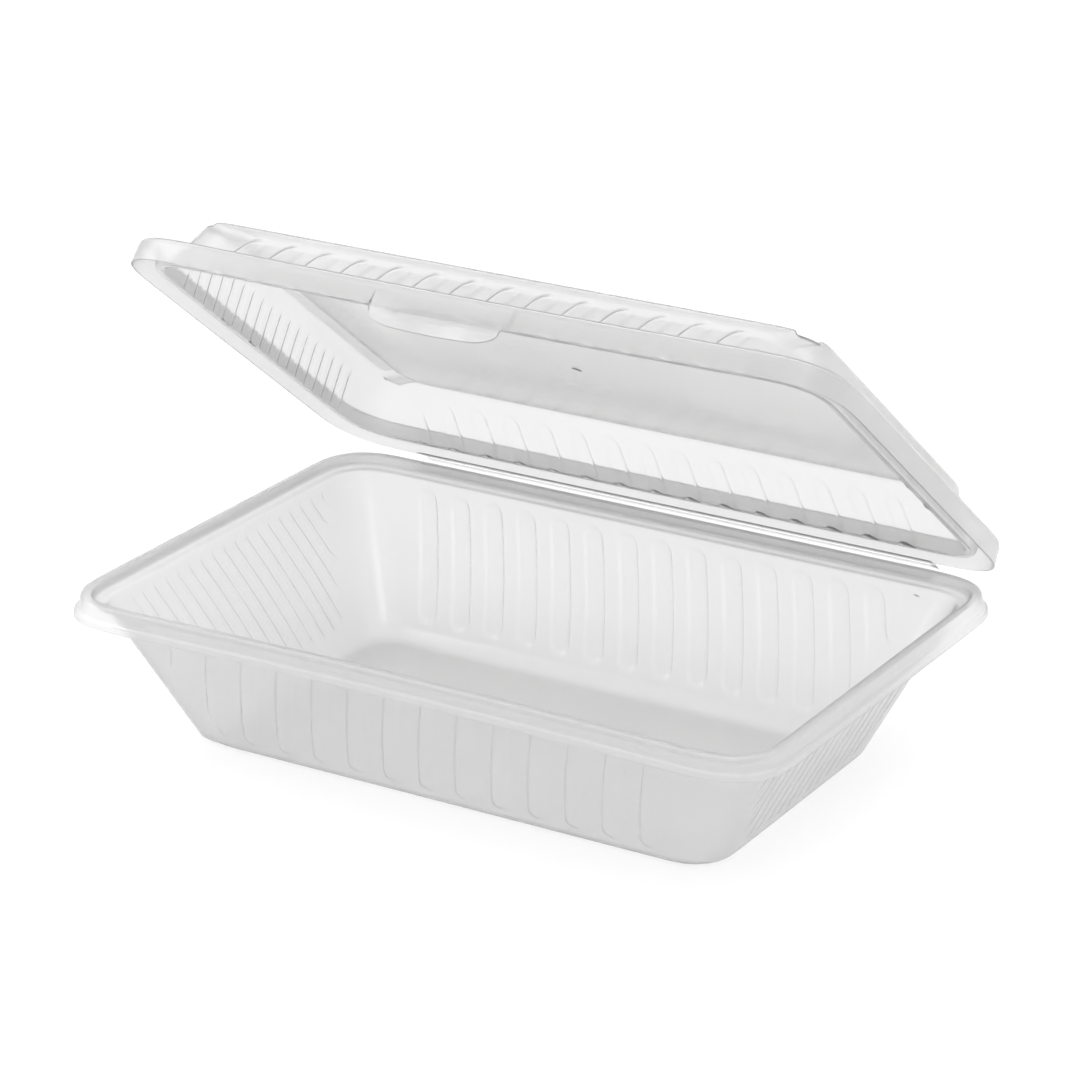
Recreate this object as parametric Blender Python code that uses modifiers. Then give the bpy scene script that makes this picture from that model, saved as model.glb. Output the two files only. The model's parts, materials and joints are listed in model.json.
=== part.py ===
"""A takeaway meal container in thin clear plastic: a tray and a lid joined by a thin hinge web along the back.

World frame: the tray's foot is centred on the origin, +X runs to the right along the long side, +Y runs
back to the hinge and +Z is up. The lid is built closed about the hinge axis and then swung open.
"""

import math

import bmesh
import bpy
from mathutils import Matrix, Vector

MM = 0.001
SHEET = 0.5

MOUTH_LENGTH = 214.6
MOUTH_WIDTH = 140.6
MOUTH_CORNER = 16.8
MOUTH_HEIGHT = 45.9
FOOT_LENGTH = 173.2
FOOT_WIDTH = 100.4
FOOT_CORNER = 15.7
CORNER_POWER = 3.0
RIM_BOW = 1.9

AXIS_Y = 86.0
AXIS_Z = 45.5
LID_OPEN_DEG = 37.3
HINGE_HALF = 90.0
HINGE_GAP = 0.25
WEB = 0.5

DOME_LENGTH = 202.0
DOME_WIDTH = 131.6
DOME_CORNER = 16.0
DOME_HEIGHT = 19.0
DOME_WALL_TOP = 17.6
PANEL_LENGTH = 178.2
PANEL_WIDTH = 112.4
PANEL_CORNER = 13.8
PANEL_HEIGHT = 17.0
NOTCH_SPAN = (0.36, 0.64)
NOTCH_FLOOR = 17.25

LONG_PITCH = 12.0
LONG_DEPTH = 0.8
SHORT_PITCH = 6.0
SHORT_DEPTH = 0.5
LONG_STATION = 3.0
SHORT_STATION = 2.0
RIB_PHASE_LONG = -7.7
RIB_PHASE_SHORT = 1.5
RIB_END_FADE = 3.0
CORNER_STEPS = 7
PLAIN_STEPS = (6, 3, 4, 3)

# Each floor step is how far inside the foot's outline it lies, and how high above the floor.
TRAY_FLOOR = ((5.2, 0.0), (3.0, 0.2), (1.3, 0.9))
# Each wall step is a height, and the share of the ribs' full depth there.
TRAY_WALL = ((3.2, 0.0), (7.5, 1.0), (21.0, 1.0), (34.0, 1.0), (44.6, 1.0))
# Each rim step is how far outside the mouth's outline it lies, and a height.
TRAY_RIM = (
    (0.1, 45.9),
    (2.4, 46.2),
    (3.0, 46.6),
    (3.6, 48.8),
    (4.3, 49.5),
    (6.1, 49.5),
    (6.8, 48.8),
    (7.2, 45.9),
    (7.7, 45.2),
    (8.4, 44.9),
    (8.7, 43.2),
)
# The lid's heights are above the hinge axis, with the lid closed.
LID_WALL_FOOT = 1.9
LID_WALL = ((17.6, 0.0), (16.0, 1.0), (9.0, 1.0), (3.0, 1.0))
LID_RIM = (
    (0.4, 1.85),
    (1.5, 1.8),
    (2.1, 2.4),
    (2.5, 6.2),
    (3.3, 7.3),
    (7.0, 7.4),
    (7.7, 7.0),
    (8.0, 6.2),
    (8.35, 0.0),
)

TAB_CENTRE = -5.5
TAB_WIDTH = 43.0
TAB_TOP = 5.6
TAB_BOTTOM = -6.4
TAB_ROOT = 8.3
TAB_FLARE = 10.6
TAB_SWELL = 0.9
TAB_THICK = 0.9
TAB_CLEAR_OUT = 9.95
TAB_CLEAR_BELOW = 0.6
TAB_COLUMNS = 18
TAB_ROWS = 5

PERIOD = 2.0 * (MOUTH_LENGTH + MOUTH_WIDTH)
SIDE_BASE = (0.0, PERIOD / 4.0, PERIOD / 2.0, 3.0 * PERIOD / 4.0)


def clear_scene():
    for obj in list(bpy.data.objects):
        bpy.data.objects.remove(obj)


def smooth(value):
    value = min(max(value, 0.0), 1.0)
    return value * value * (3.0 - 2.0 * value)


def tray_lean(depth):
    """How far a rib has leaned along the wall at this depth below the rim."""
    return 0.45 * depth - 0.0026 * depth * depth


def lid_lean(depth):
    return 0.7 * depth


def side_halves(length, width, corner):
    half_x = length / 2.0 - corner
    half_y = width / 2.0 - corner
    return (half_x, half_y, half_x, half_y)


def side_point(side, along, length, width):
    """A point on one side. The sides run front, right, back, left, seen from above against the clock."""
    if side == 0:
        return (along, -width / 2.0, 0.0, -1.0)
    if side == 1:
        return (length / 2.0, along, 1.0, 0.0)
    if side == 2:
        return (-along, width / 2.0, 0.0, 1.0)
    return (-length / 2.0, -along, -1.0, 0.0)


def corner_point(side, part, length, width, corner):
    """A point on the corner after one side, from 0 at that side's end to 1 at the next side's start."""
    angle = part * math.pi / 2.0
    out = corner * math.sin(angle) ** (2.0 / CORNER_POWER)
    run = corner * math.cos(angle) ** (2.0 / CORNER_POWER)
    half_x = length / 2.0 - corner
    half_y = width / 2.0 - corner
    if side == 0:
        return (half_x + out, -half_y - run)
    if side == 1:
        return (half_x + run, half_y + out)
    if side == 2:
        return (-half_x - out, half_y + run)
    return (-half_x - run, -half_y - out)


def bowed(x, y, half_x, bow):
    """Draws the front side in towards its middle."""
    if y >= 0.0 or bow == 0.0:
        return y
    share = min(abs(x) / half_x, 1.0)
    return y + bow * (1.0 - share * share)


def rib_rise(side, mark, along, half, depth_share):
    """Outward swell of the wall between two rib lines, zero on the lines and past the side's ends."""
    pitch = LONG_PITCH if side % 2 == 0 else SHORT_PITCH
    depth = LONG_DEPTH if side % 2 == 0 else SHORT_DEPTH
    phase = RIB_PHASE_LONG if side % 2 == 0 else RIB_PHASE_SHORT
    ends = smooth((half - abs(along)) / RIB_END_FADE)
    return depth * depth_share * ends * abs(math.sin(math.pi * (mark - phase) / pitch))


def plain_ring(length, width, corner, height, bow, lean=0.0):
    """A ring with few stations, as (mark round the ring, position)."""
    halves = side_halves(length, width, corner)
    ring = []
    for side in range(4):
        half = halves[side]
        steps = PLAIN_STEPS[side]
        for i in range(steps + 1):
            along = -half + 2.0 * half * i / steps
            x, y, _, _ = side_point(side, along, length, width)
            y = bowed(x, y, halves[0], bow)
            ring.append((SIDE_BASE[side] + along + lean, (x, y, height)))
        end = SIDE_BASE[side] + half + lean
        following = (side + 1) % 4
        start = SIDE_BASE[following] - halves[following] + lean
        if following == 0:
            start += PERIOD
        for i in range(1, CORNER_STEPS):
            part = i / CORNER_STEPS
            x, y = corner_point(side, part, length, width, corner)
            ring.append((end + (start - end) * part, (x, y, height)))
    return ring


def ribbed_ring(length, width, corner, height, bow, lean, depth_share):
    """A ring with stations on the rib lines, which lean against the order of the ring."""
    halves = side_halves(length, width, corner)
    ring = []
    for side in range(4):
        half = halves[side]
        phase = RIB_PHASE_LONG if side % 2 == 0 else RIB_PHASE_SHORT
        step = LONG_STATION if side % 2 == 0 else SHORT_STATION
        first = math.ceil((-half + lean - phase + 0.8) / step)
        last = math.floor((half + lean - phase - 0.8) / step)
        marks = [-half + lean]
        marks += [phase + step * k for k in range(first, last + 1)]
        marks.append(half + lean)
        for mark in marks:
            along = mark - lean
            x, y, nx, ny = side_point(side, along, length, width)
            rise = rib_rise(side, mark, along, half, depth_share)
            y = bowed(x, y, halves[0], bow)
            ring.append((SIDE_BASE[side] + mark, (x + nx * rise, y + ny * rise, height)))
        end = SIDE_BASE[side] + half + lean
        following = (side + 1) % 4
        start = SIDE_BASE[following] - halves[following] + lean
        if following == 0:
            start += PERIOD
        for i in range(1, CORNER_STEPS):
            part = i / CORNER_STEPS
            x, y = corner_point(side, part, length, width, corner)
            ring.append((end + (start - end) * part, (x, y, height)))
    return ring


def notched(ring, low):
    """Lowers the middle of each corner, where the stacking ridge is open."""
    result = []
    per_corner = CORNER_STEPS - 1
    index = 0
    for side in range(4):
        for _ in range(PLAIN_STEPS[side] + 1):
            result.append(ring[index])
            index += 1
        for i in range(1, per_corner + 1):
            mark, (x, y, z) = ring[index]
            if NOTCH_SPAN[0] <= i / CORNER_STEPS <= NOTCH_SPAN[1]:
                z = low
            result.append((mark, (x, y, z)))
            index += 1
    return result


def stitch(mesh, inner, outer):
    """Joins two rings of any two counts by their marks, facing up."""
    shift = min(range(len(outer)), key=lambda k: abs(outer[k][0] - inner[0][0]))
    outer = outer[shift:] + [(mark + PERIOD, vert) for mark, vert in outer[:shift]]
    inner = inner + [(inner[0][0] + PERIOD, inner[0][1])]
    outer = outer + [(outer[0][0] + PERIOD, outer[0][1])]
    i = 0
    j = 0
    while i < len(inner) - 1 or j < len(outer) - 1:
        more_inner = i < len(inner) - 1
        more_outer = j < len(outer) - 1
        if more_inner and more_outer and abs(inner[i + 1][0] - outer[j + 1][0]) < 0.01:
            corners = [inner[i][1], inner[i + 1][1], outer[j + 1][1], outer[j][1]]
            i += 1
            j += 1
        elif more_inner and (not more_outer or inner[i + 1][0] < outer[j + 1][0]):
            corners = [inner[i][1], inner[i + 1][1], outer[j][1]]
            i += 1
        else:
            corners = [inner[i][1], outer[j + 1][1], outer[j][1]]
            j += 1
        corners.reverse()
        mesh.faces.new(corners)


def stitch_even(mesh, inner, outer):
    """Joins two rings that have the same stations, facing up."""
    count = len(inner)
    for i in range(count):
        following = (i + 1) % count
        corners = [outer[i][1], outer[following][1], inner[following][1], inner[i][1]]
        mesh.faces.new(corners)


def sheet_object(name, rings, even_pairs, cap_z):
    """A thin closed shell through the rings, from the capped first ring to the open last one."""
    mesh = bmesh.new()
    placed = []
    for ring in rings:
        placed.append([(mark, mesh.verts.new([c * MM for c in where])) for mark, where in ring])
    centre = mesh.verts.new((0.0, 0.0, cap_z * MM))
    first = placed[0]
    for i in range(len(first)):
        corners = [centre, first[i][1], first[(i + 1) % len(first)][1]]
        mesh.faces.new(corners)
    for index in range(len(placed) - 1):
        if index in even_pairs:
            stitch_even(mesh, placed[index], placed[index + 1])
        else:
            stitch(mesh, placed[index], placed[index + 1])
    data = bpy.data.meshes.new(name)
    mesh.to_mesh(data)
    mesh.free()
    obj = bpy.data.objects.new(name, data)
    shell = obj.modifiers.new("sheet", "SOLIDIFY")
    shell.thickness = SHEET * MM
    shell.offset = -1.0
    shell.use_even_offset = True
    shell.use_quality_normals = True
    return obj


def between(first, last, share):
    return first + (last - first) * share


def tray_rings():
    """Rings of the tray's inside face: the floor, the wall, and the rim out to its skirt."""
    rings = []
    even = set()
    lean_foot = tray_lean(MOUTH_HEIGHT)
    for inset, rise in TRAY_FLOOR:
        rings.append(
            plain_ring(
                FOOT_LENGTH - 2.0 * inset,
                FOOT_WIDTH - 2.0 * inset,
                FOOT_CORNER - inset / 2.0,
                SHEET + rise,
                0.0,
                lean_foot,
            )
        )
    even.update(range(len(rings) - 1))
    for height, depth_share in TRAY_WALL:
        share = height / MOUTH_HEIGHT
        rings.append(
            ribbed_ring(
                between(FOOT_LENGTH, MOUTH_LENGTH, share),
                between(FOOT_WIDTH, MOUTH_WIDTH, share),
                between(FOOT_CORNER, MOUTH_CORNER, share),
                height,
                RIM_BOW * share,
                tray_lean(MOUTH_HEIGHT - height),
                depth_share,
            )
        )
    start = len(rings)
    for out, height in TRAY_RIM:
        rings.append(
            plain_ring(
                MOUTH_LENGTH + 2.0 * out,
                MOUTH_WIDTH + 2.0 * out,
                MOUTH_CORNER + out,
                height,
                RIM_BOW,
            )
        )
    even.update(range(start, len(rings) - 1))
    return rings, even


def lid_rings():
    """Rings of the lid's outside face when closed, above the hinge axis: the panel, the ridge, the wall, the rim."""
    rings = []
    even = set()
    for length, width, corner, height, open_corner in (
        (PANEL_LENGTH - 3.0, PANEL_WIDTH - 3.0, PANEL_CORNER - 1.5, PANEL_HEIGHT, False),
        (PANEL_LENGTH, PANEL_WIDTH, PANEL_CORNER, PANEL_HEIGHT + 0.3, False),
        (PANEL_LENGTH + 2.6, PANEL_WIDTH + 2.6, PANEL_CORNER + 1.0, DOME_HEIGHT, True),
        (DOME_LENGTH - 1.8, DOME_WIDTH - 1.8, DOME_CORNER - 0.6, DOME_HEIGHT, True),
        (DOME_LENGTH - 0.4, DOME_WIDTH - 0.4, DOME_CORNER, DOME_HEIGHT - 0.6, True),
    ):
        ring = plain_ring(length, width, corner, height, 0.0)
        if open_corner:
            ring = notched(ring, NOTCH_FLOOR)
        rings.append(ring)
    even.update(range(len(rings) - 1))
    for height, depth_share in LID_WALL:
        share = (DOME_WALL_TOP - height) / (DOME_WALL_TOP - LID_WALL_FOOT)
        rings.append(
            ribbed_ring(
                between(DOME_LENGTH, MOUTH_LENGTH, share),
                between(DOME_WIDTH, MOUTH_WIDTH, share),
                between(DOME_CORNER, MOUTH_CORNER, share),
                height,
                RIM_BOW * share,
                lid_lean(DOME_WALL_TOP - height),
                depth_share,
            )
        )
    rim_lean = lid_lean(DOME_WALL_TOP - LID_WALL_FOOT)
    start = len(rings)
    for out, height in LID_RIM:
        rings.append(
            plain_ring(
                MOUTH_LENGTH + 2.0 * out,
                MOUTH_WIDTH + 2.0 * out,
                MOUTH_CORNER + out,
                height,
                RIM_BOW,
                rim_lean,
            )
        )
    even.update(range(start, len(rings) - 1))
    return rings, even


def box_object(name, low, high, group):
    mesh = bmesh.new()
    bmesh.ops.create_cube(mesh, size=1.0)
    size = [(b - a) * MM for a, b in zip(low, high)]
    middle = [(a + b) / 2.0 * MM for a, b in zip(low, high)]
    bmesh.ops.scale(mesh, vec=size, verts=mesh.verts)
    bmesh.ops.translate(mesh, vec=middle, verts=mesh.verts)
    data = bpy.data.meshes.new(name)
    mesh.to_mesh(data)
    mesh.free()
    obj = bpy.data.objects.new(name, data)
    group.objects.link(obj)
    return obj


def tab_bottom(share):
    """Lower edge of the thumb tab, a shallow D with round ends, for -1 to 1 across it."""
    reach = 1.0 - abs(share) ** 5.0
    return TAB_BOTTOM * reach ** 0.45


def tab_object(group):
    """The thumb tab, which leaves the lid's skirt and flares out as it hangs below it."""
    mesh = bmesh.new()
    half_x = MOUTH_LENGTH / 2.0 - MOUTH_CORNER
    front = []
    for column in range(TAB_COLUMNS + 1):
        share = -math.cos(math.pi * column / TAB_COLUMNS) * 0.995
        x = TAB_CENTRE + share * TAB_WIDTH / 2.0
        low = tab_bottom(share)
        line = []
        for row in range(TAB_ROWS + 1):
            z = between(TAB_TOP, low, row / TAB_ROWS)
            drop = (TAB_TOP - z) / (TAB_TOP - TAB_BOTTOM)
            sides = 1.0 - abs(share) ** 6.0
            swell = TAB_SWELL * math.sin(math.pi * min(drop * 1.4, 1.0)) * sides
            out = between(TAB_ROOT, TAB_FLARE, drop ** 0.8) + swell
            if z < TAB_CLEAR_BELOW:
                out = max(out, TAB_CLEAR_OUT)
            y = bowed(x, -(MOUTH_WIDTH / 2.0 + out), half_x, RIM_BOW)
            line.append(mesh.verts.new((x * MM, y * MM, z * MM)))
        front.append(line)
    for left, right in zip(front, front[1:]):
        for row in range(TAB_ROWS):
            mesh.faces.new((left[row + 1], right[row + 1], right[row], left[row]))
    data = bpy.data.meshes.new("tab_shape")
    mesh.to_mesh(data)
    mesh.free()
    obj = bpy.data.objects.new("tab_shape", data)
    thick = obj.modifiers.new("thickness", "SOLIDIFY")
    thick.thickness = TAB_THICK * MM
    thick.offset = -1.0
    group.objects.link(obj)
    return obj


def add_union(obj, other, name):
    join = obj.modifiers.new(name, "BOOLEAN")
    join.operation = "UNION"
    join.solver = "EXACT"
    join.object = other


def plastic(name, color):
    material = bpy.data.materials.new(name)
    material.use_nodes = True
    shader = material.node_tree.nodes["Principled BSDF"]
    shader.inputs["Base Color"].default_value = (*color, 1.0)
    shader.inputs["Roughness"].default_value = 0.18
    shader.inputs["Transmission Weight"].default_value = 0.85
    shader.inputs["IOR"].default_value = 1.49
    return material


def main():
    clear_scene()
    scene = bpy.context.scene
    container = bpy.data.collections.new("meal_container")
    helpers = bpy.data.collections.new("helpers")
    scene.collection.children.link(container)
    scene.collection.children.link(helpers)
    helpers.hide_render = True

    rings, even = tray_rings()
    tray = sheet_object("tray", rings, even, SHEET)
    container.objects.link(tray)
    tongue = box_object(
        "tray_web",
        (-HINGE_HALF, MOUTH_WIDTH / 2.0 + 7.5, AXIS_Z - 0.3 - WEB),
        (HINGE_HALF, AXIS_Y - HINGE_GAP, AXIS_Z - 0.3),
        helpers,
    )
    add_union(tray, tongue, "web")

    rings, even = lid_rings()
    lid = sheet_object("lid", rings, even, PANEL_HEIGHT)
    lid.data.transform(Matrix.Translation(Vector((0.0, -AXIS_Y * MM, 0.0))))
    container.objects.link(lid)
    lid_web = box_object(
        "lid_web",
        (-HINGE_HALF, MOUTH_WIDTH / 2.0 + 7.9, 0.05),
        (HINGE_HALF, AXIS_Y - HINGE_GAP, 0.05 + WEB),
        helpers,
    )
    tab = tab_object(helpers)
    for piece in (lid_web, tab):
        piece.data.transform(Matrix.Translation(Vector((0.0, -AXIS_Y * MM, 0.0))))
    for piece in (lid, lid_web, tab):
        piece.location = (0.0, AXIS_Y * MM, AXIS_Z * MM)
        piece.rotation_euler = (-math.radians(LID_OPEN_DEG), 0.0, 0.0)
    add_union(lid, lid_web, "web")
    add_union(lid, tab, "tab")

    for piece in (tongue, lid_web, tab):
        piece.hide_render = True
        piece.display_type = "WIRE"
    tray.data.materials.append(plastic("tray_plastic", (0.86, 0.87, 0.88)))
    lid.data.materials.append(plastic("lid_plastic", (0.86, 0.87, 0.88)))


main()
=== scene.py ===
"""The looks of an empty takeaway meal container in clear, slightly frosted plastic.

Sizes are in millimetres unless a name says otherwise, and MM turns them into metres. The tray's foot is
centred on the origin. The lid is shaped closed about the hinge axis and then swung open.
"""

import json
import math
from collections import namedtuple

import bmesh
import bpy
from mathutils import Matrix, Vector


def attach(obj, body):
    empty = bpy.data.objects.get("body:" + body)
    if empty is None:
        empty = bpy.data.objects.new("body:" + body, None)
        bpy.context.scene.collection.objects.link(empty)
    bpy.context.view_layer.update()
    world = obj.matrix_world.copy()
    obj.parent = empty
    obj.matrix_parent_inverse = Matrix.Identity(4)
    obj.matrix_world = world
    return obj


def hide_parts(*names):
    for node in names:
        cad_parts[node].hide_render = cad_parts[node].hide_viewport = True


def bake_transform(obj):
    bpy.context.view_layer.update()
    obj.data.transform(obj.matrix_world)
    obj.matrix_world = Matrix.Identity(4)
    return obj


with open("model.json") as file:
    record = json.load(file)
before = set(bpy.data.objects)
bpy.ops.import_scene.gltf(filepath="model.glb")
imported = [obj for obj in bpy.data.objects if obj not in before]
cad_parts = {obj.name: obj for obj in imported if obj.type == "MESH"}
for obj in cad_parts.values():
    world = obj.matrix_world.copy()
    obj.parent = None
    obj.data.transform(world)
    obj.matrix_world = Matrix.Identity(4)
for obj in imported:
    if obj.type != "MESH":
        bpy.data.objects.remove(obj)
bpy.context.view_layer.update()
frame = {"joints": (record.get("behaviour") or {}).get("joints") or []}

MM = 0.001
SHEET = 0.5

MOUTH_LENGTH = 214.6
MOUTH_WIDTH = 140.6
MOUTH_CORNER = 16.8
MOUTH_HEIGHT = 45.9
FOOT_LENGTH = 173.2
FOOT_WIDTH = 100.4
FOOT_CORNER = 15.7
CORNER_POWER = 3.0
RIM_BOW = 1.9
# How far the flutes lean along a long and a short wall for each millimetre down, and how that curls back.
TRAY_LEAN = (0.38, 0.45)
TRAY_LEAN_CURL = 0.0026
LID_LEAN = 0.7

HINGE = frame["joints"][0]
AXIS_Y = HINGE["pos_m"][1] / MM
AXIS_Z = HINGE["pos_m"][2] / MM
LID_OPEN_DEG = -HINGE["range_deg"][0]
HINGE_HALF = 90.0
# The web's two leaves lie this far below and above the axis, and its fold starts a little way in front
# of it. A crease runs along the lid's leaf, and the web thins towards its two ends.
WEB_APART = 0.45
WEB_FOLD = 0.9
WEB_THICK = 0.25
WEB_THIN_END = 1.5
WEB_THIN_SHARE = 0.1
WEB_TRAY_OUT = 8.75
WEB_CREASE = 0.25
WEB_CREASE_SPAN = 0.16
WEB_STEPS = 8
WEB_COLUMNS = 90

Outline = namedtuple("Outline", "length width corner")
DOME = Outline(202.0, 131.6, 16.0)
DOME_WALL_TOP = 17.6
PANEL = Outline(178.2, 112.4, 13.8)
PANEL_HEIGHT = 17.0
# Each ring of the lid's top is an outline, how much its length and width grow, how much its corner grows,
# its height, and whether it is lowered at the corners, where the stacking ridge is open.
LID_TOP = (
    (PANEL, -3.0, -1.5, PANEL_HEIGHT, False),
    (PANEL, -0.8, -0.4, 17.06, False),
    (PANEL, 0.0, 0.0, 17.3, False),
    (PANEL, 1.2, 0.4, 18.1, True),
    (PANEL, 2.0, 0.8, 18.85, True),
    (PANEL, 3.4, 1.2, 19.0, True),
    (DOME, -3.0, -1.0, 19.0, True),
    (DOME, -1.4, -0.4, 18.85, True),
    (DOME, -0.5, 0.0, 18.4, True),
)
NOTCH_SPAN = (0.36, 0.64)
NOTCH_FLOOR = 17.25
NOTCH_EDGE = 0.12
LID_WALL_FOOT = 1.9

# Flutes are shallow grooves pressed out of the walls, for the long walls first and then the short ones.
# Their low and high ends are heights, and are round where they lie on the wall.
Flute = namedtuple("Flute", "pitch half edge depth centre low high")
TRAY_FLUTES = (
    Flute(12.0, 3.0, 1.55, 0.7, -3.35, 6.0, 43.0),
    Flute(6.0, 1.5, 1.2, 0.26, 4.5, 6.2, 42.9),
)
LID_FLUTES = (
    Flute(12.0, 3.0, 1.5, 0.78, -1.7, 1.0, 15.2),
    Flute(6.0, 1.5, 1.2, 0.26, 4.5, 1.5, 13.6),
)
FLUTE_SIDE_FADE = 1.6
STATION_CLEAR = 0.15
# Where stations crowd round a flute's edge, in shares of the edge's width.
EDGE_SHARES = (-0.75, -0.4, -0.15, 0.15, 0.4, 0.75)
CORNER_STEPS = 24
CORNER_SPREAD = 0.05
# Stations of two rings whose marks are this close are joined straight across.
MARKS_MEET = 0.01
# How many even steps a plain ring takes along its front, right, back and left sides.
PLAIN_STEPS = (60, 30, 60, 30)
LID_RIM_STEPS = (240, 30, 60, 30)

# Each floor step is how far inside the foot's outline it lies, and how high above the floor.
TRAY_FLOOR = ((6.4, 0.0), (5.2, 0.0), (4.0, 0.05), (3.0, 0.2), (2.1, 0.5), (1.3, 0.9), (0.7, 1.6))
# Each stretch of wall is the height that it ends at, and how many rows it has.
TRAY_WALL_START = 3.2
TRAY_WALL = ((5.0, 2), (9.2, 8), (40.0, 7), (43.4, 6))
# Each rim step is how far outside the mouth's outline it lies, and a height above the foot for the tray,
# or above the hinge axis for the closed lid.
TRAY_RIM = (
    (-0.9, 43.9),
    (0.0, 45.9),
    (2.2, 46.15),
    (3.0, 46.6),
    (3.6, 48.8),
    (4.3, 49.5),
    (6.1, 49.5),
    (6.8, 48.8),
    (7.2, 45.9),
    (7.7, 45.2),
    (8.4, 44.9),
    (8.7, 43.2),
)
LID_RIM = (
    (1.1, 1.85),
    (1.6, 1.8),
    (2.1, 2.4),
    (2.5, 6.2),
    (3.3, 7.3),
    (7.0, 7.4),
    (7.7, 7.0),
    (8.0, 6.2),
    (8.12, 4.2),
    (8.24, 2.1),
    (8.35, 0.0),
)
# How many times the rims' corners are cut to round them.
RIM_CUTS = 2
LID_WALL = ((15.7, 2), (11.6, 9), (3.4, 4), (2.4, 2))
LID_FOOT_OUT = 0.35

# Rings lower than this and further out than this are the lid's skirt, which carries the tab and the nubs.
SKIRT_TOP = 6.2
SKIRT_OUT = 7.9
TAB_CENTRE = -5.5
TAB_WIDTH = 43.0
TAB_TOP = 5.6
TAB_LAP = 0.6
TAB_BOTTOM = -6.4
TAB_ROOT = 8.3
TAB_FLARE = 10.6
TAB_FLARE_POWER = 0.8
TAB_SWELL = 0.9
TAB_SWELL_RUN = 1.4
TAB_SWELL_POWER = 6.0
TAB_END_POWERS = (5.0, 0.45)
TAB_CLEAR_OUT = 9.95
TAB_CLEAR_BELOW = 0.6
TAB_SIDE = 0.45
# The skirt is drawn out this far beside the tab before it goes down, to clear the closed tray's rim.
TAB_SHOULDER = 0.8
DISH_HALF = 8.0
DISH_FADE = 0.4
DISH_RUN = 3.0
DISH_DEPTH = 0.5
NUB_PITCH = 12.0
NUB_PHASE = 6.5
NUB_HALF = 1.9
NUB_TALL = 1.4
NUB_OUT = 0.35
NUB_DOWN = 0.45
NUB_REACH = 90.0

GATE_X = -4.7
GATE_FORWARD = 80.0
GATE_RADIUS = 1.6
GATE_HEIGHT = 0.3
# Clear pieces that meet stay this far apart, so that no two bodies of plastic overlap.
HAIR = 0.02

PLASTIC_IOR = 1.49
# The noise in the plastic is a slow cloud for its tint and gloss, and a finer flow mark in its surface.
CLOUD_SCALE = 38.0
CLOUD_DETAIL = 3.0
CLOUD_TINT = 0.012
CLOUD_GLOSS = 0.2
FLOW_SCALE = 90.0
FLOW_DETAIL = 2.0
FLOW_STRENGTH = 0.15
FLOW_DEPTH_M = 0.0004

# The floor is a white table lit from below, which keeps the shadows faint.
FLOOR_HALF_M = 6.0
FLOOR_DROP_M = 0.0002
FLOOR_WHITE = 0.30
FLOOR_GLOW = 0.74
FLOOR_ROUGHNESS = 0.9
WORLD_GREY = 0.88
# Each light is a name, a place and a target in metres, its size in metres, and its watts.
LIGHTS = (
    ("overhead", (0.0, 0.3, 1.6), (0.0, 0.0, 0.0), (2.4, 2.0), 12.0),
    ("left", (-1.1, -0.45, 0.95), (-0.09, -0.07, 0.05), (0.9, 0.9), 4.5),
    ("key", (0.55, -1.0, 1.1), (0.1, -0.05, 0.05), (0.6, 0.6), 2.4),
)

CAMERA_AZIMUTH_DEG = 30.274
CAMERA_ELEVATION_DEG = 21.086
CAMERA_ROLL_DEG = 0.578
CAMERA_PLACE_M = (0.55504, -0.94685, 0.48839)
CAMERA_LENS_MM = 135.405
SENSOR_MM = 36.0

PERIOD = 2.0 * (MOUTH_LENGTH + MOUTH_WIDTH)
SIDE_BASE = (0.0, PERIOD / 4.0, PERIOD / 2.0, 3.0 * PERIOD / 4.0)


def smooth(value):
    value = min(max(value, 0.0), 1.0)
    return value * value * (3.0 - 2.0 * value)


def between(first, last, share):
    return first + (last - first) * share


def tray_leans(depth):
    """How far a flute has leaned along a long and a short wall at this depth below the rim."""
    curl = TRAY_LEAN_CURL * depth * depth
    return tuple(lean * depth - curl for lean in TRAY_LEAN)


def lid_leans(depth):
    return (LID_LEAN * depth, LID_LEAN * depth)


def side_halves(length, width, corner):
    half_x = length / 2.0 - corner
    half_y = width / 2.0 - corner
    return (half_x, half_y, half_x, half_y)


def side_point(side, along, length, width):
    """A point on one side and the way out. The sides run front, right, back, left, anticlockwise."""
    if side == 0:
        return (along, -width / 2.0, 0.0, -1.0)
    if side == 1:
        return (length / 2.0, along, 1.0, 0.0)
    if side == 2:
        return (-along, width / 2.0, 0.0, 1.0)
    return (-length / 2.0, -along, -1.0, 0.0)


def corner_point(side, part, length, width, corner):
    """A point on the corner after one side, from 0 at that side's end to 1 at the next side's start."""
    angle = part * math.pi / 2.0
    out = corner * math.sin(angle) ** (2.0 / CORNER_POWER)
    run = corner * math.cos(angle) ** (2.0 / CORNER_POWER)
    half_x = length / 2.0 - corner
    half_y = width / 2.0 - corner
    if side == 0:
        return (half_x + out, -half_y - run)
    if side == 1:
        return (half_x + run, half_y + out)
    if side == 2:
        return (-half_x - out, half_y + run)
    return (-half_x - run, -half_y - out)


def bowed(x, y, half_x, bow):
    """Draws the front side in towards its middle."""
    if y >= 0.0 or bow == 0.0:
        return y
    share = min(abs(x) / half_x, 1.0)
    return y + bow * (1.0 - share * share)


def flute_rise(flute, mark, height):
    """How far out the wall is pressed at this mark and height."""
    away = abs((mark - flute.centre + flute.pitch / 2.0) % flute.pitch - flute.pitch / 2.0)
    into = min(flute.high - height, height - flute.low)
    reach = math.hypot(away, max(flute.half - into, 0.0))
    return flute.depth * smooth((flute.half - reach) / flute.edge + 0.5)


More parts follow.
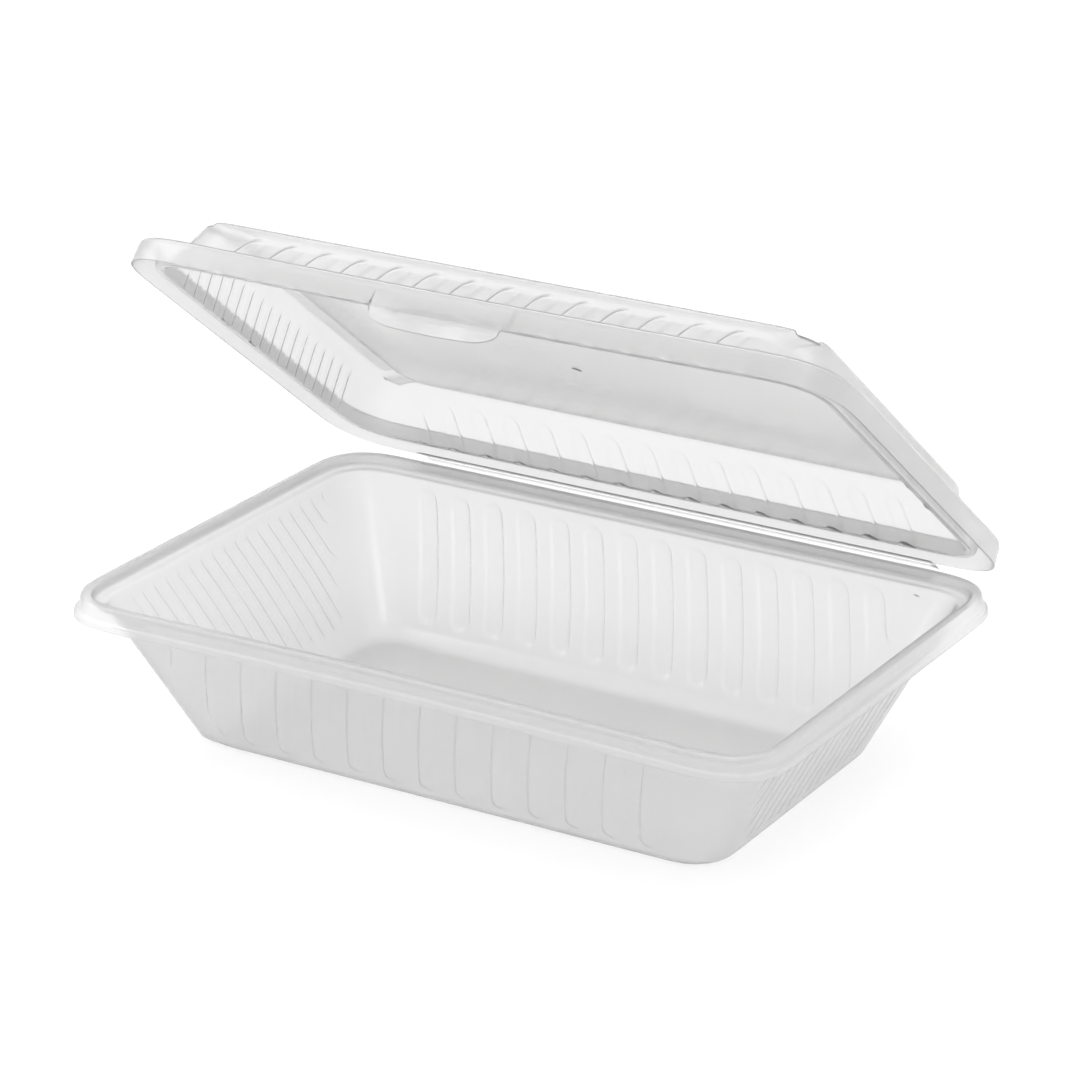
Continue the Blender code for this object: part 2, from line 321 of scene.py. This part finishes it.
def flute_stations(flute):
    """Offsets from a flute's centre over one pitch, close together at its two edges."""
    near = [flute.half + flute.edge * share for share in EDGE_SHARES]
    right = [near[0] / 2.0, *near, between(near[-1], flute.pitch / 2.0, 0.5)]
    return [-offset for offset in reversed(right)] + [0.0] + right + [flute.pitch / 2.0]


def wall_rows(start, stretches):
    """Heights from one end of a wall to the other."""
    rows = [start]
    for end, count in stretches:
        first = rows[-1]
        rows += [between(first, end, (i + 1) / count) for i in range(count)]
    return rows


def corner_stations(side, halves, length, width, corner, height, leans):
    """The stations round the corner after one side."""
    following = (side + 1) % 4
    end = SIDE_BASE[side] + halves[side] + leans[side % 2]
    start = SIDE_BASE[following] - halves[following] + leans[following % 2]
    if following == 0:
        start += PERIOD
    stations = []
    for i in range(1, CORNER_STEPS):
        part = i / CORNER_STEPS
        # Even steps of the corner's own angle bunch at its ends, so they are spread out here.
        eased = part + CORNER_SPREAD * math.sin(4.0 * math.pi * part)
        x, y = corner_point(side, eased, length, width, corner)
        stations.append((between(end, start, part), (x, y, height)))
    return stations


def plain_ring(length, width, corner, height, bow, leans=(0.0, 0.0), side_steps=PLAIN_STEPS):
    """A ring with no flutes, as (mark round the ring, position)."""
    halves = side_halves(length, width, corner)
    ring = []
    for side in range(4):
        half = halves[side]
        steps = side_steps[side]
        for i in range(steps + 1):
            along = -half + 2.0 * half * i / steps
            x, y, _, _ = side_point(side, along, length, width)
            y = bowed(x, y, halves[0], bow)
            ring.append((SIDE_BASE[side] + along + leans[side % 2], (x, y, height)))
        ring += corner_stations(side, halves, length, width, corner, height, leans)
    return ring


def fluted_ring(length, width, corner, height, bow, leans, flutes):
    """A ring whose stations keep to the flutes, which lean against the order of the ring."""
    halves = side_halves(length, width, corner)
    ring = []
    for side in range(4):
        half = halves[side]
        lean = leans[side % 2]
        flute = flutes[side % 2]
        first = math.floor((-half + lean - flute.centre) / flute.pitch)
        last = math.ceil((half + lean - flute.centre) / flute.pitch)
        marks = [-half + lean]
        for k in range(first, last + 1):
            for offset in flute_stations(flute):
                mark = flute.centre + k * flute.pitch + offset
                if abs(mark - lean) < half - STATION_CLEAR:
                    marks.append(mark)
        marks.append(half + lean)
        for mark in marks:
            along = mark - lean
            x, y, out_x, out_y = side_point(side, along, length, width)
            rise = flute_rise(flute, mark, height) * smooth((half - abs(along)) / FLUTE_SIDE_FADE)
            y = bowed(x, y, halves[0], bow)
            ring.append((SIDE_BASE[side] + mark, (x + out_x * rise, y + out_y * rise, height)))
        ring += corner_stations(side, halves, length, width, corner, height, leans)
    return ring


def notched(ring, low):
    """Lowers the middle of each corner, where the stacking ridge is open."""
    result = []
    index = 0
    for side in range(4):
        result += ring[index : index + PLAIN_STEPS[side] + 1]
        index += PLAIN_STEPS[side] + 1
        for i in range(1, CORNER_STEPS):
            mark, (x, y, z) = ring[index]
            part = i / CORNER_STEPS
            inside = min(part - NOTCH_SPAN[0], NOTCH_SPAN[1] - part)
            z = between(z, low, smooth(inside / NOTCH_EDGE + 0.5))
            result.append((mark, (x, y, z)))
            index += 1
    return result


def rounded(profile, times):
    """Cuts the corners of a profile, which leaves its two ends where they are."""
    for _ in range(times):
        cut = [profile[0]]
        for first, last in zip(profile, profile[1:]):
            cut.append(tuple(between(a, b, 0.25) for a, b in zip(first, last)))
            cut.append(tuple(between(a, b, 0.75) for a, b in zip(first, last)))
        cut.append(profile[-1])
        profile = cut
    return profile


def stitch(mesh, inner, outer):
    """Joins two rings of any two counts by their marks, facing up."""
    shift = min(range(len(outer)), key=lambda k: abs(outer[k][0] - inner[0][0]))
    outer = outer[shift:] + [(mark + PERIOD, vert) for mark, vert in outer[:shift]]
    inner = inner + [(inner[0][0] + PERIOD, inner[0][1])]
    outer = outer + [(outer[0][0] + PERIOD, outer[0][1])]
    i = 0
    j = 0
    while i < len(inner) - 1 or j < len(outer) - 1:
        more_inner = i < len(inner) - 1
        more_outer = j < len(outer) - 1
        if more_inner and more_outer and abs(inner[i + 1][0] - outer[j + 1][0]) < MARKS_MEET:
            corners = [inner[i][1], inner[i + 1][1], outer[j + 1][1], outer[j][1]]
            i += 1
            j += 1
        elif more_inner and (not more_outer or inner[i + 1][0] < outer[j + 1][0]):
            corners = [inner[i][1], inner[i + 1][1], outer[j][1]]
            i += 1
        else:
            corners = [inner[i][1], outer[j + 1][1], outer[j][1]]
            j += 1
        corners.reverse()
        mesh.faces.new(corners)


def sheet_object(name, rings, cap_z):
    """A thin closed shell through the rings, from the capped first ring to the open last one."""
    mesh = bmesh.new()
    placed = []
    for ring in rings:
        placed.append([(mark, mesh.verts.new([c * MM for c in where])) for mark, where in ring])
    centre = mesh.verts.new((0.0, 0.0, cap_z * MM))
    first = placed[0]
    for i in range(len(first)):
        mesh.faces.new([centre, first[i][1], first[(i + 1) % len(first)][1]])
    for inner, outer in zip(placed, placed[1:]):
        stitch(mesh, inner, outer)
    for face in mesh.faces:
        face.smooth = True
    data = bpy.data.meshes.new(name)
    mesh.to_mesh(data)
    mesh.free()
    obj = bpy.data.objects.new(name, data)
    bpy.context.scene.collection.objects.link(obj)
    shell = obj.modifiers.new("sheet", "SOLIDIFY")
    shell.thickness = SHEET * MM
    shell.offset = -1.0
    shell.use_even_offset = True
    shell.use_quality_normals = True
    return obj


def tray_rings():
    """Rings of the tray's inside face: the floor, the wall, and the rim out to its skirt."""
    rings = []
    foot_leans = tray_leans(MOUTH_HEIGHT)
    for inset, rise in TRAY_FLOOR:
        rings.append(
            plain_ring(
                FOOT_LENGTH - 2.0 * inset,
                FOOT_WIDTH - 2.0 * inset,
                FOOT_CORNER - inset / 2.0,
                SHEET + rise,
                0.0,
                foot_leans,
            )
        )
    for height in wall_rows(TRAY_WALL_START, TRAY_WALL):
        share = height / MOUTH_HEIGHT
        rings.append(
            fluted_ring(
                between(FOOT_LENGTH, MOUTH_LENGTH, share),
                between(FOOT_WIDTH, MOUTH_WIDTH, share),
                between(FOOT_CORNER, MOUTH_CORNER, share),
                height,
                RIM_BOW * share,
                tray_leans(MOUTH_HEIGHT - height),
                TRAY_FLUTES,
            )
        )
    for out, height in rounded(TRAY_RIM, RIM_CUTS):
        rings.append(
            plain_ring(
                MOUTH_LENGTH + 2.0 * out,
                MOUTH_WIDTH + 2.0 * out,
                MOUTH_CORNER + out,
                height,
                RIM_BOW,
            )
        )
    return rings


def tab_bottom(share):
    """Lower edge of the thumb tab, a shallow D with round ends, for -1 to 1 across it."""
    across_power, down_power = TAB_END_POWERS
    reach = max(1.0 - abs(share) ** across_power, 0.0)
    return TAB_BOTTOM * reach ** down_power


def tab_shaped(x, out, height):
    """The skirt's own (out, height) at x, drawn out and down where the thumb tab is."""
    share = (x - TAB_CENTRE) / (TAB_WIDTH / 2.0)
    inside = (1.0 - abs(share)) * TAB_WIDTH / 2.0
    weight = smooth(inside / TAB_SIDE)
    out_weight = smooth((inside + TAB_SHOULDER) / TAB_SIDE)
    if out_weight == 0.0:
        return out, height
    down = (SKIRT_TOP - height) / SKIRT_TOP
    tab_height = between(TAB_TOP + TAB_LAP, tab_bottom(share), down)
    drop = max((TAB_TOP - tab_height) / (TAB_TOP - TAB_BOTTOM), 0.0)
    sides = max(1.0 - abs(share) ** TAB_SWELL_POWER, 0.0)
    swell = TAB_SWELL * math.sin(math.pi * min(drop * TAB_SWELL_RUN, 1.0)) * sides
    tab_out = between(TAB_ROOT, TAB_FLARE, drop ** TAB_FLARE_POWER) + swell
    if tab_height < TAB_CLEAR_BELOW:
        tab_out = max(tab_out, TAB_CLEAR_OUT)
    across = 1.0 - smooth(abs(x - TAB_CENTRE) / DISH_HALF - DISH_FADE)
    tab_out -= DISH_DEPTH * across * smooth((TAB_CLEAR_BELOW - tab_height) / DISH_RUN)
    return between(out, tab_out, out_weight), between(height, tab_height, weight)


def nub_shaped(x, out, height):
    """Small stacking nubs along the skirt's lower edge."""
    if abs(x) > NUB_REACH or height > NUB_TALL:
        return out, height
    turn = (x - NUB_PHASE) / NUB_PITCH
    away = abs(turn - round(turn)) * NUB_PITCH / NUB_HALF
    if away >= 1.0 or abs(x - TAB_CENTRE) < TAB_WIDTH / 2.0 + NUB_HALF:
        return out, height
    lift = (1.0 - away * away) * (1.0 - height / NUB_TALL)
    return out + NUB_OUT * lift, height - NUB_DOWN * lift


def lid_rim_ring(out, height, leans):
    """One ring of the lid's rim, with the thumb tab and the nubs drawn from the skirt's front."""
    length = MOUTH_LENGTH + 2.0 * out
    width = MOUTH_WIDTH + 2.0 * out
    ring = plain_ring(length, width, MOUTH_CORNER + out, height, RIM_BOW, leans, LID_RIM_STEPS)
    if height > SKIRT_TOP or out < SKIRT_OUT:
        return ring
    for i in range(LID_RIM_STEPS[0] + 1):
        mark, (x, y, z) = ring[i]
        moved_out, moved_height = nub_shaped(x, *tab_shaped(x, out, height))
        ring[i] = (mark, (x, y - (moved_out - out), moved_height))
    return ring


def lid_rings():
    """Rings of the closed lid's outside face: the panel, the stacking ridge, the wall, and the rim."""
    rings = []
    for outline, growth, corner_growth, height, lowered in LID_TOP:
        ring = plain_ring(
            outline.length + growth,
            outline.width + growth,
            outline.corner + corner_growth,
            height,
            0.0,
        )
        if lowered:
            ring = notched(ring, NOTCH_FLOOR)
        rings.append(ring)
    for height in wall_rows(DOME_WALL_TOP, LID_WALL):
        share = (DOME_WALL_TOP - height) / (DOME_WALL_TOP - LID_WALL_FOOT)
        rings.append(
            fluted_ring(
                between(DOME.length, MOUTH_LENGTH, share),
                between(DOME.width, MOUTH_WIDTH, share),
                between(DOME.corner, MOUTH_CORNER, share),
                height,
                RIM_BOW * share,
                lid_leans(DOME_WALL_TOP - height),
                LID_FLUTES,
            )
        )
    rim_leans = lid_leans(DOME_WALL_TOP - LID_WALL_FOOT)
    for out in (0.0, LID_FOOT_OUT):
        rings.append(
            fluted_ring(
                MOUTH_LENGTH + 2.0 * out,
                MOUTH_WIDTH + 2.0 * out,
                MOUTH_CORNER + out,
                LID_WALL_FOOT + (LID_FOOT_OUT - out) / 2.0,
                RIM_BOW,
                rim_leans,
                LID_FLUTES,
            )
        )
    for out, height in rounded(LID_RIM, RIM_CUTS):
        rings.append(lid_rim_ring(out, height, rim_leans))
    return rings


def swing_open(obj):
    """Turns a piece that was shaped closed about the hinge axis to where the lid rests."""
    to_axis = Matrix.Translation(Vector((0.0, -AXIS_Y * MM, 0.0)))
    swing = Matrix.Rotation(-math.radians(LID_OPEN_DEG), 4, "X")
    place = Matrix.Translation(Vector((0.0, AXIS_Y * MM, AXIS_Z * MM)))
    obj.data.transform(place @ swing @ to_axis)


def web_path():
    """The hinge's cross-section: back along the tray's leaf, round the fold and up the lid's leaf."""
    opened = math.radians(LID_OPEN_DEG)
    path = []
    for i in range(WEB_STEPS + 1):
        y = between(MOUTH_WIDTH / 2.0 + WEB_TRAY_OUT, AXIS_Y - WEB_FOLD, i / WEB_STEPS)
        path.append((y, AXIS_Z - WEB_APART))
    for i in range(1, WEB_STEPS):
        turn = math.pi * i / WEB_STEPS
        run = WEB_FOLD * (1.0 - math.sin(turn))
        rise = -WEB_APART * math.cos(turn)
        share = i / WEB_STEPS
        angle = opened * share
        y = AXIS_Y - run * math.cos(angle) + rise * math.sin(angle)
        path.append((y, AXIS_Z + run * math.sin(angle) + rise * math.cos(angle)))
    reach = AXIS_Y - MOUTH_WIDTH / 2.0 - LID_RIM[-1][0] - HAIR
    for i in range(2 * WEB_STEPS + 1):
        share = i / (2 * WEB_STEPS)
        run = between(WEB_FOLD, reach, share)
        rise = WEB_APART + WEB_CREASE * smooth(1.0 - abs(share - 0.5) / WEB_CREASE_SPAN)
        y = AXIS_Y - run * math.cos(opened) + rise * math.sin(opened)
        path.append((y, AXIS_Z + run * math.sin(opened) + rise * math.cos(opened)))
    return path


def web_object():
    """The living hinge: one thin strip from the tray's skirt, round the axis and up to the lid's skirt."""
    path = web_path()
    mesh = bmesh.new()
    grid = []
    for i in range(WEB_COLUMNS + 1):
        x = -HINGE_HALF * math.cos(math.pi * i / WEB_COLUMNS)
        grid.append([mesh.verts.new((x * MM, y * MM, z * MM)) for y, z in path])
    for left, right in zip(grid, grid[1:]):
        for j in range(len(path) - 1):
            face = mesh.faces.new((left[j], right[j], right[j + 1], left[j + 1]))
            face.smooth = True
    data = bpy.data.meshes.new("hinge_web")
    mesh.to_mesh(data)
    mesh.free()
    obj = bpy.data.objects.new("hinge_web", data)
    bpy.context.scene.collection.objects.link(obj)
    thinned = obj.vertex_groups.new(name="thickness")
    for vert in data.vertices:
        inside = (HINGE_HALF - abs(vert.co.x) / MM) / WEB_THIN_END
        thinned.add([vert.index], min(inside, 1.0), "REPLACE")
    thick = obj.modifiers.new("thickness", "SOLIDIFY")
    thick.thickness = WEB_THICK * MM
    thick.offset = 0.0
    thick.vertex_group = "thickness"
    thick.thickness_vertex_group = WEB_THIN_SHARE
    return obj


def gate_object():
    """The small round mark that moulding leaves under the middle of the lid's panel."""
    mesh = bmesh.new()
    bmesh.ops.create_uvsphere(mesh, u_segments=32, v_segments=12, radius=GATE_RADIUS * MM)
    bmesh.ops.scale(mesh, vec=(1.0, 1.0, GATE_HEIGHT / GATE_RADIUS / 2.0), verts=mesh.verts)
    height = PANEL_HEIGHT - SHEET - GATE_HEIGHT / 2.0 - HAIR
    place = (GATE_X * MM, (AXIS_Y - GATE_FORWARD) * MM, height * MM)
    bmesh.ops.translate(mesh, vec=place, verts=mesh.verts)
    for face in mesh.faces:
        face.smooth = True
    data = bpy.data.meshes.new("gate_mark")
    mesh.to_mesh(data)
    mesh.free()
    obj = bpy.data.objects.new("gate_mark", data)
    bpy.context.scene.collection.objects.link(obj)
    return obj


def plastic(name, tint, haze, roughness):
    """Clear moulded plastic: a milky body, a soft frosted gloss, and faint flow marks in it."""
    material = bpy.data.materials.new(name)
    material.use_nodes = True
    nodes = material.node_tree.nodes
    links = material.node_tree.links
    shader = nodes["Principled BSDF"]
    shader.inputs["IOR"].default_value = PLASTIC_IOR
    shader.inputs["Transmission Weight"].default_value = 1.0 - haze
    place = nodes.new("ShaderNodeTexCoord")
    cloud = nodes.new("ShaderNodeTexNoise")
    cloud.inputs["Scale"].default_value = CLOUD_SCALE
    cloud.inputs["Detail"].default_value = CLOUD_DETAIL
    links.new(place.outputs["Object"], cloud.inputs["Vector"])
    tone = nodes.new("ShaderNodeMapRange")
    tone.inputs["To Min"].default_value = tint - CLOUD_TINT
    tone.inputs["To Max"].default_value = tint + CLOUD_TINT
    links.new(cloud.outputs["Fac"], tone.inputs["Value"])
    color = nodes.new("ShaderNodeCombineColor")
    for channel in ("Red", "Green", "Blue"):
        links.new(tone.outputs["Result"], color.inputs[channel])
    links.new(color.outputs["Color"], shader.inputs["Base Color"])
    gloss = nodes.new("ShaderNodeMapRange")
    gloss.inputs["To Min"].default_value = roughness * (1.0 - CLOUD_GLOSS)
    gloss.inputs["To Max"].default_value = roughness * (1.0 + CLOUD_GLOSS)
    links.new(cloud.outputs["Fac"], gloss.inputs["Value"])
    links.new(gloss.outputs["Result"], shader.inputs["Roughness"])
    flow = nodes.new("ShaderNodeTexNoise")
    flow.inputs["Scale"].default_value = FLOW_SCALE
    flow.inputs["Detail"].default_value = FLOW_DETAIL
    links.new(place.outputs["Object"], flow.inputs["Vector"])
    bump = nodes.new("ShaderNodeBump")
    bump.inputs["Strength"].default_value = FLOW_STRENGTH
    bump.inputs["Distance"].default_value = FLOW_DEPTH_M
    links.new(flow.outputs["Fac"], bump.inputs["Height"])
    links.new(bump.outputs["Normal"], shader.inputs["Normal"])
    return material


def floor_object():
    """A large plain white floor, which is also the backdrop that the camera sees."""
    mesh = bmesh.new()
    bmesh.ops.create_grid(mesh, x_segments=1, y_segments=1, size=FLOOR_HALF_M)
    data = bpy.data.meshes.new("floor")
    mesh.to_mesh(data)
    mesh.free()
    obj = bpy.data.objects.new("floor", data)
    bpy.context.scene.collection.objects.link(obj)
    material = bpy.data.materials.new("floor_white")
    material.use_nodes = True
    shader = material.node_tree.nodes["Principled BSDF"]
    shader.inputs["Base Color"].default_value = (FLOOR_WHITE, FLOOR_WHITE, FLOOR_WHITE, 1.0)
    shader.inputs["Roughness"].default_value = FLOOR_ROUGHNESS
    shader.inputs["Emission Color"].default_value = (1.0, 1.0, 1.0, 1.0)
    shader.inputs["Emission Strength"].default_value = FLOOR_GLOW
    data.materials.append(material)
    obj.location.z = -FLOOR_DROP_M


def add_light(name, place, target, size, power):
    light = bpy.data.lights.new(name, "AREA")
    light.shape = "RECTANGLE"
    light.size, light.size_y = size
    light.energy = power
    obj = bpy.data.objects.new(name, light)
    obj.location = place
    aim = Vector(target) - Vector(place)
    obj.rotation_euler = aim.to_track_quat("-Z", "Y").to_euler()
    bpy.context.scene.collection.objects.link(obj)


def studio():
    """Plain soft lights and a white surround."""
    world = bpy.data.worlds.new("studio")
    world.use_nodes = True
    background = world.node_tree.nodes["Background"]
    background.inputs["Color"].default_value = (WORLD_GREY, WORLD_GREY, WORLD_GREY, 1.0)
    bpy.context.scene.world = world
    for light in LIGHTS:
        add_light(*light)


def camera():
    data = bpy.data.cameras.new("camera")
    data.lens = CAMERA_LENS_MM
    data.sensor_width = SENSOR_MM
    data.clip_start = 0.05
    data.clip_end = 50.0
    obj = bpy.data.objects.new("camera", data)
    turn = Matrix.Rotation(math.radians(CAMERA_AZIMUTH_DEG), 4, "Z")
    tilt = Matrix.Rotation(math.radians(90.0 - CAMERA_ELEVATION_DEG), 4, "X")
    roll = Matrix.Rotation(math.radians(CAMERA_ROLL_DEG), 4, "Z")
    obj.matrix_world = Matrix.Translation(CAMERA_PLACE_M) @ turn @ tilt @ roll
    bpy.context.scene.collection.objects.link(obj)
    bpy.context.scene.camera = obj


def look_settings():
    """A plain view transform, so that white stays white, and bounces enough for many clear layers."""
    scene = bpy.context.scene
    scene.view_settings.view_transform = "Standard"
    scene.cycles.max_bounces = 9
    scene.cycles.transmission_bounces = 9
    scene.cycles.diffuse_bounces = 2
    scene.cycles.glossy_bounces = 3
    scene.cycles.use_denoising = True
    scene.cycles.sample_clamp_indirect = 6.0


def main():
    camera()
    studio()
    floor_object()
    look_settings()

    tray = sheet_object("tray_shell", tray_rings(), SHEET)
    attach(tray, "tray")
    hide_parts("tray")

    lid = sheet_object("lid_shell", lid_rings(), PANEL_HEIGHT)
    gate = gate_object()
    for piece in (lid, gate):
        swing_open(piece)
        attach(piece, "lid")
    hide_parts("lid")

    web = web_object()
    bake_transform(web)

    tray.data.materials.append(plastic("tray_clear", tint=0.93, haze=0.21, roughness=0.22))
    lid.data.materials.append(plastic("lid_clear", tint=0.95, haze=0.165, roughness=0.18))
    gate.data.materials.append(plastic("gate_clear", tint=0.965, haze=0.04, roughness=0.12))
    web.data.materials.append(plastic("web_clear", tint=0.975, haze=0.04, roughness=0.14))


main()
